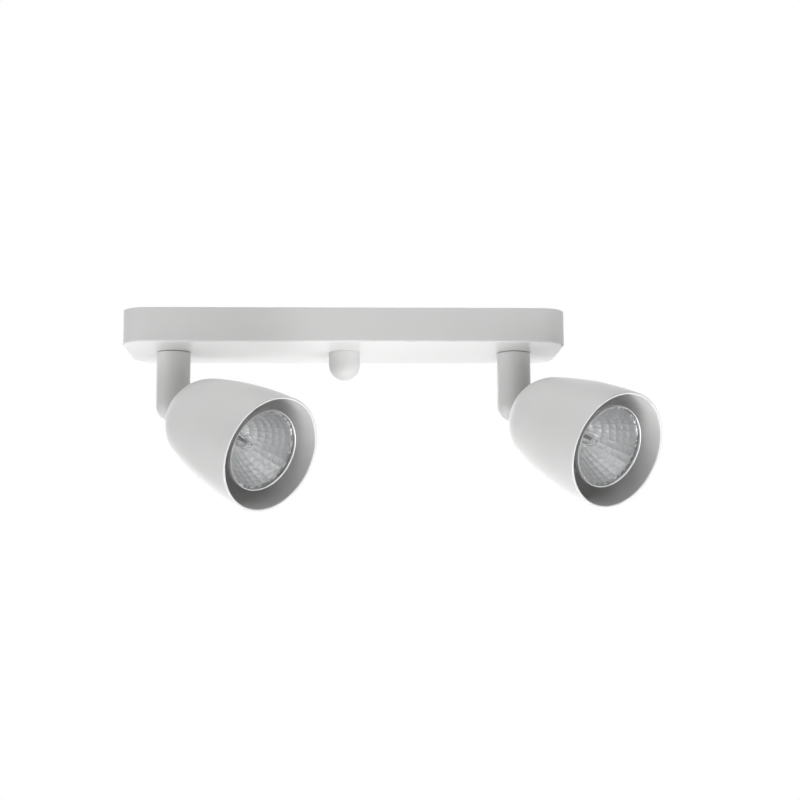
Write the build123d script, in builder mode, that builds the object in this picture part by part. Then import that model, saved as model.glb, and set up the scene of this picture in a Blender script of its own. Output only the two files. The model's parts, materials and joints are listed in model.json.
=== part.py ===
from build123d import *

import os
from math import cos, radians, sin, sqrt

# Ceiling or wall bar with two spotlights that swivel and tilt.
#
# Frame: millimetres, +Z up. The origin is the middle of the mounting plane, which
# is Z = 0. The bar runs along X, its front looks along -Y, and all of it hangs below.
#
# An arm turns about its upright stem. Its pan is the angle of its head's heading,
# measured from the front (-Y) towards +X. A head tilts about the pivot in the ball
# end of its stem. Its droop is the angle of its aim below the horizontal.

os.makedirs("parts", exist_ok=True)

# ---------------------------------------------------------------- driving sizes

# canopy: a pressed steel tray, open towards the mounting plane
canopy_length = 270.0
canopy_width = 80.0
canopy_depth = 21.0
canopy_corner = 16.0
canopy_wall = 1.0
canopy_bend = 1.2

# arms and their aim in the modelled position
arm_spacing = 213.0
left_pan = 46.5
left_droop = 23.2
right_pan = 36.5
right_droop = 22.5
least_droop = 12.0

# stem: a round post whose ball end is slotted as a fork
stem_diameter = 21.0
pivot_drop = 54.2
wire_bore = 6.0
fork_slot = 6.6
fork_pocket_radius = 8.3

# tongue of the shade, which fills the fork
tongue_thickness = 5.2
tongue_radius = 8.0
tongue_root = 14.0
wire_groove_width = 2.8
wire_groove_depth = 3.0
wire_groove_wrap = 110.0
wire_groove_run = 7.0

# pivot screw
pivot_diameter = 5.0
pivot_head_diameter = 8.0
pivot_head_height = 2.4
pivot_seat = 5.6
pivot_reach = 7.4
pivot_socket = 3.0
pivot_socket_depth = 1.8
tilt_washer_diameter = 13.0
tilt_washer_thickness = 0.6

# swivel joint at the canopy
nipple_diameter = 10.0
nipple_bore = 7.0
nipple_depth = 9.0
nipple_rise = 10.0
nipple_flat = 4.1
friction_washer_diameter = 18.0
friction_washer_thickness = 0.5
stop_washer_diameter = 20.0
stop_washer_thickness = 1.2
stop_tab_reach = 15.2
stop_tab_width = 3.4
stop_peg_diameter = 3.0
stop_peg_height = 3.0
stop_peg_radius = 13.6
spring_washer_diameter = 17.0
spring_washer_sheet = 0.6
spring_washer_height = 1.5
lock_nut_flats = 14.0
lock_nut_height = 3.5

# shade: a bullet of two arcs that meet at a tangent
dome_gap = 0.5
dome_radius = 28.0
dome_sweep = 75.0
rim_diameter = 71.0
shade_wall = 1.5
rim_rounding = 0.5

# knuckle: the tongue, its curved foot inside the dome and two bosses for the bracket
foot_thickness = 2.0
boss_diameter = 7.0
boss_setback = 13.8

# lamp, 50 mm across, with twist-lock pins 10 mm apart
lamp_recess = 7.0
lamp_length = 45.5
lamp_diameter = 50.0
lamp_lip = 3.2
lamp_shoulder = 0.8
bowl_depth = 33.0
bowl_neck_diameter = 21.0
bowl_wall = 1.5
bowl_throat_diameter = 11.0
front_glass_thickness = 1.6
front_glass_inset = 1.4
base_diameter = 22.0
base_plug_height = 3.0
capsule_diameter = 9.0
capsule_length = 19.0
pin_spacing = 10.0
pin_diameter = 5.0
pin_neck_diameter = 3.2
pin_length = 7.0
pin_head_length = 3.3
pin_slot_play = 0.6

# lamp holder and its bracket
holder_diameter = 27.0
holder_length = 17.0
holder_face_thickness = 2.6
holder_cavity_depth = 10.0
holder_screw_offset = 9.0
holder_screw_recess = 3.0
pin_twist = 35.0
bracket_sheet = 1.2
bracket_strap_width = 9.0
bracket_gap = 0.4
bracket_disc_diameter = 25.0
bracket_screw_depth = 4.5

# mounting bracket: a steel strip with its middle pressed down
strip_length = 156.0
strip_width = 24.0
strip_sheet = 2.0
strip_drop = 7.0
strip_bend = 3.0
strip_web = 34.0
strip_slope = 7.0
fixing_spacing = 64.0
fixing_slot_length = 13.0
fixing_slot_width = 5.0

# stud, nuts and domed cap nut
stud_diameter = 6.0
stud_nut_flats = 10.0
stud_nut_height = 3.2
stud_tail = 1.0
cap_nut_diameter = 19.5
cap_nut_length = 17.5
stud_grip = 10.0
stud_end_gap = 2.0
stud_chamfer = 0.5

# terminal block and earth terminal
terminal_inset = 20.0
terminal_pitch = 8.0
terminal_poles = 3
terminal_base_length = 34.0
terminal_base_width = 12.0
terminal_base_height = 3.5
terminal_base_corner = 3.0
tower_length = 6.6
tower_width = 15.0
tower_height = 10.0
tower_wire_bore = 3.6
tower_screw_bore = 3.4
tower_screw_depth = 6.0
terminal_screw_length = 5.0
terminal_screw_slot = 0.8
terminal_ear_offset = 14.2
earth_inset = 20.0
earth_screw_diameter = 4.0
earth_screw_head = 7.4
earth_washer_diameter = 10.0
earth_washer_height = 1.6

# small screws
small_screw_diameter = 3.0
small_screw_head = 5.4
small_screw_head_height = 2.0

# shares of a screw's or nut's own size
head_rounding_share = 0.4
slot_depth_share = 0.5
slot_width_share = 0.17
nut_corner_share = 1.1

# clearances
thread_clearance = 0.05
running_clearance = 0.05
face_clearance = 0.05
hole_clearance = 0.15
swivel_clearance = 0.1

# how far a cut runs on past the face it starts at
cut_overrun = 1.0

# ---------------------------------------------------------------- worked-out sizes

stem_radius = stem_diameter / 2
canopy_floor = -canopy_depth + canopy_wall
stem_top = -canopy_depth - friction_washer_thickness - face_clearance
terminal_x = strip_length / 2 - terminal_inset
earth_x = earth_inset - strip_length / 2
# along a head's aim, from its pivot
apex = stem_radius + dome_gap
dome_centre = apex + dome_radius
boss_top = apex + boss_setback
bracket_face = boss_top + bracket_sheet
base_end = bracket_face + holder_length
lamp_face = base_end + lamp_length
base_front = lamp_face - bowl_depth
rim = lamp_face + lamp_recess
# the bracket's ends just clear the inside of the dome where they are nearest to it
bracket_reach = sqrt((dome_radius - shade_wall) ** 2 - (dome_centre - boss_top) ** 2) - bracket_gap
boss_offset = bracket_reach - bracket_strap_width / 2
web_top = -strip_drop
web_bottom = web_top - strip_sheet


class Arm:
    """One arm of the bar: its name, where its pivot is, and the planes it is drawn on."""

    def __init__(self, name, x, pan, droop):
        self.name = name
        self.x = x
        turn = radians(pan)
        sink = radians(droop)
        self.pivot = Vector(x, 0, -pivot_drop)
        self.heading = Vector(sin(turn), -cos(turn), 0)
        self.hinge = Vector(cos(turn), sin(turn), 0)
        self.aim = self.heading * cos(sink) - Vector(0, 0, 1) * sin(sink)
        # upright section through the stem: local x is the heading, local y is up
        self.fork = Plane(origin=self.pivot, x_dir=self.heading, z_dir=-self.hinge)
        # section through the head: local x is the aim, local y is the head's own up
        self.head = Plane(origin=self.pivot, x_dir=self.aim, z_dir=-self.hinge)
        self.stem_axis = Axis(self.pivot, (0, 0, 1))
        self.aim_axis = Axis(self.pivot, self.aim)

    def level(self, z):
        """Horizontal plane at height z, centred on the stem, with local x ahead."""
        return Plane(origin=(self.x, 0, z), x_dir=self.heading, z_dir=(0, 0, 1))

    def across(self, distance):
        """Plane square to the head's aim, this far from the pivot."""
        origin = self.pivot + self.aim * distance
        return Plane(origin=origin, x_dir=self.hinge, z_dir=self.aim)

    def beside(self, distance):
        """Plane square to the tilt axis, this far from the pivot."""
        origin = self.pivot + self.hinge * distance
        return Plane(origin=origin, x_dir=self.heading, z_dir=self.hinge)


arms = [
    Arm("left", -arm_spacing / 2, left_pan, left_droop),
    Arm("right", arm_spacing / 2, right_pan, right_droop),
]


def save(part, name):
    """Labels a finished piece and writes it under its own name."""
    part.label = name
    export_step(part, f"parts/{name}.step")


def ring(plane, outer, inner, height):
    """Flat ring on a plane, rising along the plane's normal."""
    with BuildPart() as washer:
        with BuildSketch(plane):
            Circle(outer / 2)
            Circle(inner / 2, mode=Mode.SUBTRACT)
        extrude(amount=height)
    return washer.part


def hex_nut(plane, flats, bore, height):
    """Hexagon nut on a plane, with its six corners turned down to a round."""
    with BuildPart() as nut:
        with BuildSketch(plane):
            RegularPolygon(flats / 2, 6, major_radius=False)
        extrude(amount=height)
        with BuildSketch(plane):
            Circle(flats / 2 * nut_corner_share)
        extrude(amount=height, mode=Mode.INTERSECT)
        with BuildSketch(plane):
            Circle(bore / 2)
        extrude(amount=height, mode=Mode.SUBTRACT)
    return nut.part


def pan_screw(plane, diameter, length, head_diameter, head_height):
    """Screw whose head rises from the plane and whose shank goes down through it."""
    with BuildPart() as screw:
        with BuildSketch(plane):
            Circle(head_diameter / 2)
        extrude(amount=head_height)
        crown = screw.faces().sort_by(Axis(plane.origin, plane.z_dir))[-1]
        fillet(crown.edges(), head_height * head_rounding_share)
        with BuildSketch(plane):
            Circle(diameter / 2)
        extrude(amount=-length)
        slot_depth = head_height * slot_depth_share
        with BuildSketch(plane.offset(head_height - slot_depth)):
            Rectangle(head_diameter, head_diameter * slot_width_share)
        extrude(amount=slot_depth, mode=Mode.SUBTRACT)
    return screw.part


# ---------------------------------------------------------------- canopy assembly


def make_canopy_cover():
    """Pressed tray with rounded ends, two swivel holes and the stud hole."""
    with BuildPart() as cover:
        with BuildSketch(Plane.XY.offset(-canopy_depth)):
            RectangleRounded(canopy_length, canopy_width, canopy_corner)
        extrude(amount=canopy_depth)
        fillet(cover.faces().sort_by(Axis.Z)[0].edges(), canopy_bend)
        with BuildSketch(Plane.XY.offset(canopy_floor)):
            RectangleRounded(
                canopy_length - 2 * canopy_wall,
                canopy_width - 2 * canopy_wall,
                canopy_corner - canopy_wall,
            )
        extrude(amount=-canopy_floor, mode=Mode.SUBTRACT)
        with BuildSketch(Plane.XY.offset(-canopy_depth)):
            with Locations(*[(arm.x, 0) for arm in arms]):
                Circle(nipple_diameter / 2 + swivel_clearance)
            Circle(stud_diameter / 2 + hole_clearance)
        extrude(amount=canopy_wall, mode=Mode.SUBTRACT)
    return cover.part


def make_stop_pegs():
    """Welded pegs behind each stem, which the stop washers' tabs run up against."""
    with BuildPart() as pegs:
        with BuildSketch(Plane.XY.offset(canopy_floor)):
            with Locations(*[(arm.x, stop_peg_radius) for arm in arms]):
                Circle(stop_peg_diameter / 2)
        extrude(amount=stop_peg_height)
    return pegs.part


def make_mounting_bracket():
    """Steel strip: two slotted feet on the mounting plane and a sunk middle."""
    foot_z = -strip_sheet / 2
    web_z = web_top - strip_sheet / 2
    web_end = strip_web / 2
    foot_start = web_end + strip_slope
    with BuildPart() as bracket:
        with BuildSketch(Plane.XZ):
            with BuildLine():
                FilletPolyline(
                    (-strip_length / 2, foot_z),
                    (-foot_start, foot_z),
                    (-web_end, web_z),
                    (web_end, web_z),
                    (foot_start, foot_z),
                    (strip_length / 2, foot_z),
                    radius=strip_bend,
                )
            trace(line_width=strip_sheet)
        extrude(amount=strip_width / 2, both=True)
        with BuildSketch():
            with Locations((-fixing_spacing / 2, 0), (fixing_spacing / 2, 0)):
                SlotOverall(fixing_slot_length, fixing_slot_width)
            with Locations(*[(terminal_x + side * terminal_ear_offset, 0) for side in (-1, 1)]):
                Circle(small_screw_diameter / 2 + thread_clearance)
            with Locations((earth_x, 0)):
                Circle(earth_screw_diameter / 2 + thread_clearance)
        extrude(amount=-strip_sheet, mode=Mode.SUBTRACT)
        with BuildSketch(Plane.XY.offset(web_top)):
            Circle(stud_diameter / 2 + thread_clearance)
        extrude(amount=-strip_sheet, mode=Mode.SUBTRACT)
    return bracket.part


def make_centre_stud():
    """Threaded stud from above the bracket's upper nut down into the cap nut."""
    top = web_top + stud_nut_height + stud_tail
    bottom = -canopy_depth - stud_grip
    with BuildPart() as stud:
        with BuildSketch(Plane.XY.offset(bottom)):
            Circle(stud_diameter / 2)
        extrude(amount=top - bottom)
        ends = stud.faces().filter_by(GeomType.PLANE)
        chamfer(ends.edges(), stud_chamfer)
    return stud.part


def make_stud_nuts():
    """Two nuts that clamp the stud on both sides of the bracket's middle."""
    bore = stud_diameter + 2 * thread_clearance
    with BuildPart() as nuts:
        add(hex_nut(Plane.XY.offset(web_top), stud_nut_flats, bore, stud_nut_height))
        low = Plane.XY.offset(web_bottom - stud_nut_height)
        add(hex_nut(low, stud_nut_flats, bore, stud_nut_height))
    return nuts.part


def make_cap_nut():
    """Turned knob with straight sides and a round end, blind-bored for the stud."""
    radius = cap_nut_diameter / 2
    straight = cap_nut_length - radius
    with BuildPart() as knob:
        with BuildSketch(Plane((0, 0, -canopy_depth), x_dir=(1, 0, 0), z_dir=(0, -1, 0))):
            with BuildLine():
                Line((0, 0), (radius, 0))
                Line((radius, 0), (radius, -straight))
                CenterArc((0, -straight), radius, 0, -90)
                Line((0, -cap_nut_length), (0, 0))
            make_face()
        revolve(axis=Axis.Z)
        with BuildSketch(Plane.XY.offset(-canopy_depth)):
            Circle(stud_diameter / 2 + thread_clearance)
        extrude(amount=-(stud_grip + stud_end_gap), mode=Mode.SUBTRACT)
    return knob.part


def pole_places():
    """X of each pole of the terminal block."""
    middle = (terminal_poles - 1) / 2
    return [terminal_x + (pole - middle) * terminal_pitch for pole in range(terminal_poles)]


def make_terminal_block():
    """Moulded block under the bracket: a base with ears and one tower for each pole."""
    base_bottom = -strip_sheet - terminal_base_height
    tower_bottom = base_bottom - tower_height
    with BuildPart() as block:
        with BuildSketch(Plane.XY.offset(-strip_sheet)):
            with Locations((terminal_x, 0)):
                RectangleRounded(terminal_base_length, terminal_base_width, terminal_base_corner)
        extrude(amount=-terminal_base_height)
        with BuildSketch(Plane.XY.offset(-strip_sheet)):
            with Locations(*[(x, 0) for x in pole_places()]):
                Rectangle(tower_length, tower_width)
        extrude(amount=-(terminal_base_height + tower_height))
        with BuildSketch(Plane.XZ):
            with Locations(*[(x, base_bottom - tower_height / 2) for x in pole_places()]):
                Circle(tower_wire_bore / 2)
        extrude(amount=tower_width, both=True, mode=Mode.SUBTRACT)
        with BuildSketch(Plane.XY.offset(tower_bottom)):
            with Locations(*[(x, 0) for x in pole_places()]):
                Circle(tower_screw_bore / 2)
        extrude(amount=tower_screw_depth, mode=Mode.SUBTRACT)
        with BuildSketch(Plane.XY.offset(-strip_sheet)):
            with Locations(*[(terminal_x + side * terminal_ear_offset, 0) for side in (-1, 1)]):
                Circle(small_screw_diameter / 2 + thread_clearance)
        extrude(amount=-terminal_base_height, mode=Mode.SUBTRACT)
    return block.part


def make_terminal_screws():
    """Clamping screws of the poles, flush with the towers' ends."""
    tower_bottom = -strip_sheet - terminal_base_height - tower_height
    with BuildPart() as screws:
        with BuildSketch(Plane.XY.offset(tower_bottom)):
            with Locations(*[(x, 0) for x in pole_places()]):
                Circle(tower_screw_bore / 2 - thread_clearance)
        extrude(amount=terminal_screw_length)
        with BuildSketch(Plane.XY.offset(tower_bottom)):
            with Locations(*[(x, 0) for x in pole_places()]):
                Rectangle(tower_screw_bore, tower_screw_bore * slot_width_share)
        extrude(amount=terminal_screw_slot, mode=Mode.SUBTRACT)
    return screws.part


def make_terminal_fixings():
    """Two screws through the block's ears into the bracket."""
    seat = -strip_sheet - terminal_base_height
    length = strip_sheet + terminal_base_height
    with BuildPart() as screws:
        for side in (-1, 1):
            place = Plane(
                origin=(terminal_x + side * terminal_ear_offset, 0, seat),
                x_dir=(1, 0, 0),
                z_dir=(0, 0, -1),
            )
            add(
                pan_screw(
                    place, small_screw_diameter, length, small_screw_head, small_screw_head_height
                )
            )
    return screws.part


def make_earth_washer():
    """Cup washer that traps the earth lead against the bracket."""
    bore = earth_screw_diameter + 2 * hole_clearance
    plane = Plane((earth_x, 0, -strip_sheet - earth_washer_height))
    return ring(plane, earth_washer_diameter, bore, earth_washer_height)


def make_earth_screw():
    """Screw of the earth terminal, tapped into the bracket."""
    plane = Plane(
        origin=(earth_x, 0, -strip_sheet - earth_washer_height), x_dir=(1, 0, 0), z_dir=(0, 0, -1)
    )
    return pan_screw(
        plane,
        earth_screw_diameter,
        strip_sheet + earth_washer_height,
        earth_screw_head,
        small_screw_head_height,
    )


# ---------------------------------------------------------------- one arm


def make_stem(arm):
    """Round post with a ball end; its fork is open ahead and below, closed behind."""
    top = stem_top + pivot_drop
    outside = stem_radius + cut_overrun
    roof = radians(90 - least_droop)
    drop = (outside - fork_pocket_radius * cos(roof)) * sin(radians(least_droop)) / sin(roof)
    with BuildPart() as stem:
        with BuildSketch(arm.fork):
            with BuildLine():
                Line((0, -stem_radius), (0, top))
                Line((0, top), (stem_radius, top))
                Line((stem_radius, top), (stem_radius, 0))
                CenterArc((0, 0), stem_radius, 0, -90)
            make_face()
        revolve(axis=arm.stem_axis)
        with BuildSketch(arm.fork):
            with BuildLine():
                hood = CenterArc((0, 0), fork_pocket_radius, 180, -90 - least_droop)
                lip = hood @ 1
                Line(lip, (outside, lip.Y - drop))
                Line((outside, lip.Y - drop), (outside, -outside))
                Line((outside, -outside), (-fork_pocket_radius, -outside))
                Line((-fork_pocket_radius, -outside), (-fork_pocket_radius, 0))
            make_face()
        extrude(amount=fork_slot / 2, both=True, mode=Mode.SUBTRACT)
        with BuildSketch(arm.level(stem_top)):
            Circle(nipple_diameter / 2 + thread_clearance)
        extrude(amount=-nipple_depth, mode=Mode.SUBTRACT)
        with BuildSketch(arm.level(stem_top)):
            Circle(wire_bore / 2)
        extrude(amount=-top, mode=Mode.SUBTRACT)
        with BuildSketch(arm.beside(pivot_seat)):
            Circle(pivot_head_diameter / 2 + hole_clearance)
        extrude(amount=stem_radius, mode=Mode.SUBTRACT)
        with BuildSketch(arm.beside(pivot_seat)):
            Circle(pivot_diameter / 2 + thread_clearance)
        extrude(amount=-(pivot_seat + pivot_reach), mode=Mode.SUBTRACT)
    return stem.part


def make_nipple(arm):
    """Hollow threaded nipple, with a flat above the canopy floor for the stop washer."""
    bottom = stem_top - nipple_depth
    top = canopy_floor + nipple_rise
    with BuildPart() as nipple:
        with BuildSketch(arm.level(bottom)):
            Circle(nipple_diameter / 2)
            Circle(nipple_bore / 2, mode=Mode.SUBTRACT)
        extrude(amount=top - bottom)
        with BuildSketch(arm.level(canopy_floor)):
            with Locations((-nipple_flat, 0)):
                Rectangle(nipple_diameter, nipple_diameter, align=(Align.MAX, Align.CENTER))
        extrude(amount=nipple_rise, mode=Mode.SUBTRACT)
    return nipple.part


def make_friction_washer(arm):
    """Thin plastic washer on top of the stem, under the canopy."""
    bore = nipple_diameter + 2 * hole_clearance
    return ring(arm.level(stem_top), friction_washer_diameter, bore, friction_washer_thickness)


def make_stop_washer(arm):
    """Steel washer keyed to the nipple's flat, with the tab that meets the stop peg."""
    with BuildPart() as washer:
        with BuildSketch(arm.level(canopy_floor + face_clearance)):
            Circle(stop_washer_diameter / 2)
            Rectangle(stop_tab_reach, stop_tab_width, align=(Align.MIN, Align.CENTER))
            with BuildSketch(mode=Mode.SUBTRACT):
                Circle(nipple_diameter / 2 + hole_clearance)
                with Locations((-nipple_flat - hole_clearance, 0)):
                    Rectangle(
                        nipple_diameter,
                        stop_washer_diameter,
                        align=(Align.MAX, Align.CENTER),
                        mode=Mode.SUBTRACT,
                    )
        extrude(amount=stop_washer_thickness)
    return washer.part


def make_spring_washer(arm):
    """Cone washer that keeps the swivel stiff: its outer edge rests on the stop washer."""
    base = canopy_floor + face_clearance + stop_washer_thickness + pivot_drop
    inner = nipple_diameter / 2 + hole_clearance
    outer = spring_washer_diameter / 2
    rise = spring_washer_height - spring_washer_sheet
    with BuildPart() as washer:
        with BuildSketch(arm.fork):
            with BuildLine():
                Polyline(
                    (outer, base),
                    (outer, base + spring_washer_sheet),
                    (inner, base + rise + spring_washer_sheet),
                    (inner, base + rise),
                    close=True,
                )
            make_face()
        revolve(axis=arm.stem_axis)
    return washer.part


def make_lock_nut(arm):
    """Thin nut that pulls the stem up to the canopy."""
    base = canopy_floor + face_clearance + stop_washer_thickness + spring_washer_height
    bore = nipple_diameter + 2 * thread_clearance
    return hex_nut(arm.level(base), lock_nut_flats, bore, lock_nut_height)


def make_pivot_screw(arm):
    """Socket screw that enters the far cheek and ends blind in the near one."""
    with BuildPart() as screw:
        with BuildSketch(arm.beside(pivot_seat)):
            Circle(pivot_head_diameter / 2)
        extrude(amount=pivot_head_height)
        with BuildSketch(arm.beside(pivot_seat)):
            Circle(pivot_diameter / 2)
        extrude(amount=-(pivot_seat + pivot_reach - face_clearance))
        with BuildSketch(arm.beside(pivot_seat + pivot_head_height)):
            RegularPolygon(pivot_socket / 2, 6, major_radius=False)
        extrude(amount=-pivot_socket_depth, mode=Mode.SUBTRACT)
    return screw.part


def make_tilt_washers(arm):
    """Two plastic washers that line the fork's cheeks."""
    bore = pivot_diameter + 2 * hole_clearance
    cheek = fork_slot / 2
    with BuildPart() as washers:
        for face in (cheek - tilt_washer_thickness, -cheek):
            add(ring(arm.beside(face), tilt_washer_diameter, bore, tilt_washer_thickness))
    return washers.part


# ---------------------------------------------------------------- one head


def bullet(arm, inset):
    """Solid bullet: the shade's outside, or with an inset its inside."""
    nose = dome_radius - inset
    mouth = rim_diameter / 2 - inset
    with BuildPart() as shape:
        with BuildSketch(arm.head):
            with BuildLine():
                dome = CenterArc((dome_centre, 0), nose, 180, -dome_sweep)
                side = TangentArc(dome @ 1, (rim, mouth), tangent=dome % 1)
                Line(side @ 1, (rim, 0))
                Line((rim, 0), dome @ 0)
            make_face()
        revolve(axis=arm.aim_axis)
    return shape.part


def make_shade(arm):
    """Spun bullet shade with a rounded rim and a slot in its dome for the tongue."""
    with BuildPart() as shade:
        add(bullet(arm, 0))
        add(bullet(arm, shade_wall), mode=Mode.SUBTRACT)
        lip = shade.faces().sort_by(arm.aim_axis)[-1]
        fillet(lip.edges(), rim_rounding)
        with BuildSketch(arm.head):
            Rectangle(dome_centre, 2 * (tongue_radius + face_clearance), align=(Align.MIN, Align.CENTER))
        extrude(amount=tongue_thickness / 2 + face_clearance, both=True, mode=Mode.SUBTRACT)
    return shade.part


def boss_sketch(width):
    """Two circles where the bosses are, on the plane of the sketch that takes them."""
    with BuildSketch() as spots:
        with Locations((-boss_offset, 0), (boss_offset, 0)):
            Circle(width / 2)
    return spots.sketch


def make_knuckle(arm):
    """Cast knuckle: grooved tongue, a foot that follows the dome and two tapped bosses."""
    seat = shade_wall + face_clearance
    with BuildPart() as hollow:
        add(bullet(arm, seat + foot_thickness))
        with BuildSketch(arm.across(boss_top)):
            add(boss_sketch(boss_diameter))
        extrude(amount=-boss_setback, mode=Mode.SUBTRACT)
    with BuildPart() as knuckle:
        with BuildSketch(arm.across(apex)):
            SlotCenterToCenter(2 * boss_offset, boss_diameter)
            Circle(tongue_radius + foot_thickness)
        extrude(amount=boss_setback)
        add(bullet(arm, seat), mode=Mode.INTERSECT)
        with BuildSketch(arm.head):
            Circle(tongue_radius)
            Rectangle(apex + tongue_root, 2 * tongue_radius, align=(Align.MIN, Align.CENTER))
        extrude(amount=tongue_thickness / 2, both=True)
        add(hollow.part, mode=Mode.SUBTRACT)
        with BuildSketch(arm.across(boss_top)):
            add(boss_sketch(small_screw_diameter + 2 * thread_clearance))
        extrude(amount=-bracket_screw_depth, mode=Mode.SUBTRACT)
        floor = tongue_radius - wire_groove_depth
        above = tongue_radius + cut_overrun
        end = apex + wire_groove_run
        with BuildSketch(arm.head):
            with BuildLine():
                inner = CenterArc((0, 0), floor, 90, wire_groove_wrap)
                outer = CenterArc((0, 0), above, 90, wire_groove_wrap)
                Line(inner @ 1, outer @ 1)
                Polyline(outer @ 0, (end, above), (end, floor), inner @ 0)
            make_face()
        extrude(amount=wire_groove_width / 2, both=True, mode=Mode.SUBTRACT)
        with BuildSketch(arm.beside(0)):
            Circle(pivot_diameter / 2 + running_clearance)
        extrude(amount=tongue_thickness, both=True, mode=Mode.SUBTRACT)
    return knuckle.part


def make_holder_bracket(arm):
    """Steel plate across the two bosses, which carries the lamp holder."""
    with BuildPart() as bracket:
        with BuildSketch(arm.across(boss_top)):
            SlotCenterToCenter(2 * boss_offset, bracket_strap_width)
            Circle(bracket_disc_diameter / 2)
            add(boss_sketch(small_screw_diameter + 2 * hole_clearance), mode=Mode.SUBTRACT)
            with Locations((0, -holder_screw_offset), (0, holder_screw_offset)):
                Circle(small_screw_diameter / 2 + thread_clearance, mode=Mode.SUBTRACT)
            Circle(wire_bore / 2, mode=Mode.SUBTRACT)
        extrude(amount=bracket_sheet)
    return bracket.part


def make_bracket_screws(arm):
    """Two screws that hold the bracket to the shade's bosses."""
    length = bracket_sheet + bracket_screw_depth - hole_clearance
    with BuildPart() as screws:
        for side in (-1, 1):
            spot = arm.across(bracket_face)
            spot = Plane(
                origin=spot.origin + arm.hinge * side * boss_offset, x_dir=spot.x_dir, z_dir=arm.aim
            )
            add(
                pan_screw(
                    spot, small_screw_diameter, length, small_screw_head, small_screw_head_height
                )
            )
    return screws.part


def pin_slots(width):
    """Two curved slots on the pins' circle, from the locked place back to the entry."""
    with BuildSketch() as slots:
        for start in (0, 180):
            with BuildLine():
                outer = CenterArc((0, 0), (pin_spacing + width) / 2, start, -pin_twist)
                inner = CenterArc((0, 0), (pin_spacing - width) / 2, start, -pin_twist)
                Line(outer @ 0, inner @ 0)
                Line(outer @ 1, inner @ 1)
            make_face()
        for turn in (0, -pin_twist):
            with PolarLocations(pin_spacing / 2, 2, start_angle=turn):
                Circle(width / 2)
    return slots.sketch


def make_lamp_holder(arm):
    """Ceramic holder: keyhole slots in its face, a wider chamber behind them."""
    entry = pin_diameter + pin_slot_play
    narrow = pin_neck_diameter + pin_slot_play
    with BuildPart() as holder:
        with BuildSketch(arm.across(bracket_face)):
            Circle(holder_diameter / 2)
        extrude(amount=holder_length)
        with BuildSketch(arm.across(base_end - holder_face_thickness)):
            add(pin_slots(entry))
        extrude(amount=-(holder_cavity_depth - holder_face_thickness), mode=Mode.SUBTRACT)
        with BuildSketch(arm.across(base_end)):
            add(pin_slots(narrow))
            with PolarLocations(pin_spacing / 2, 2, start_angle=-pin_twist):
                Circle(entry / 2)
        extrude(amount=-holder_face_thickness, mode=Mode.SUBTRACT)
        with BuildSketch(arm.across(base_end)):
            with Locations((0, -holder_screw_offset), (0, holder_screw_offset)):
                Circle(small_screw_head / 2 + hole_clearance)
        extrude(amount=-(holder_screw_recess + small_screw_head_height), mode=Mode.SUBTRACT)
        with BuildSketch(arm.across(base_end)):
            with Locations((0, -holder_screw_offset), (0, holder_screw_offset)):
                Circle(small_screw_diameter / 2 + hole_clearance)
        extrude(amount=-holder_length, mode=Mode.SUBTRACT)
    return holder.part


def make_holder_screws(arm):
    """Two long screws down through the holder into its bracket."""
    seat = base_end - holder_screw_recess - small_screw_head_height
    length = seat - boss_top
    with BuildPart() as screws:
        for side in (-1, 1):
            spot = arm.across(seat)
            origin = spot.origin + spot.y_dir * side * holder_screw_offset
            place = Plane(origin=origin, x_dir=spot.x_dir, z_dir=arm.aim)
            add(
                pan_screw(
                    place, small_screw_diameter, length, small_screw_head, small_screw_head_height
                )
            )
    return screws.part


def make_lamp_reflector(arm):
    """Pressed glass bowl: a lip at the mouth, a parabola inside, a neck behind."""
    edge = lamp_diameter / 2
    shoulder = edge - lamp_shoulder
    neck = bowl_neck_diameter / 2
    seat = lamp_face - front_glass_inset - front_glass_thickness
    mouth = edge - 2 * bowl_wall
    throat = bowl_throat_diameter / 2
    throat_floor = base_front + base_plug_height
    with BuildPart() as reflector:
        with BuildSketch(arm.head):
            with BuildLine():
                Polyline(
                    (seat, mouth),
                    (seat, mouth + bowl_wall),
                    (lamp_face, mouth + bowl_wall),
                    (lamp_face, edge),
                    (lamp_face - lamp_lip, edge),
                    (lamp_face - lamp_lip, shoulder),
                )
                # both curves are parabolas r*r = 4*f*(s - s0), so each is one Bezier
                # whose middle point is where the tangents at its ends cross
                for low_s, low_r, high_s, high_r in (
                    (base_front, neck, lamp_face - lamp_lip, shoulder),
                    (throat_floor, throat, seat, mouth),
                ):
                    four_f = (high_r**2 - low_r**2) / (high_s - low_s)
                    start = low_s - low_r**2 / four_f
                    middle = (start + low_r * high_r / four_f, (low_r + high_r) / 2)
                    Bezier((low_s, low_r), middle, (high_s, high_r))
                Polyline((throat_floor, throat), (base_front, throat), (base_front, neck))
            make_face()
        revolve(axis=arm.aim_axis)
    return reflector.part


def make_lamp_glass(arm):
    """Flat front glass, seated inside the reflector's lip."""
    seat = lamp_face - front_glass_inset - front_glass_thickness
    with BuildPart() as glass:
        with BuildSketch(arm.across(seat)):
            Circle(lamp_diameter / 2 - bowl_wall - thread_clearance)
        extrude(amount=front_glass_thickness)
    return glass.part


def make_lamp_base(arm):
    """Ceramic base: a plug in the reflector's throat and a body that meets the holder."""
    with BuildPart() as base:
        with BuildSketch(arm.across(base_end)):
            Circle(base_diameter / 2)
        extrude(amount=base_front - base_end)
        with BuildSketch(arm.across(base_front)):
            Circle(bowl_throat_diameter / 2 - thread_clearance)
        extrude(amount=base_plug_height)
    return base.part


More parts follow.
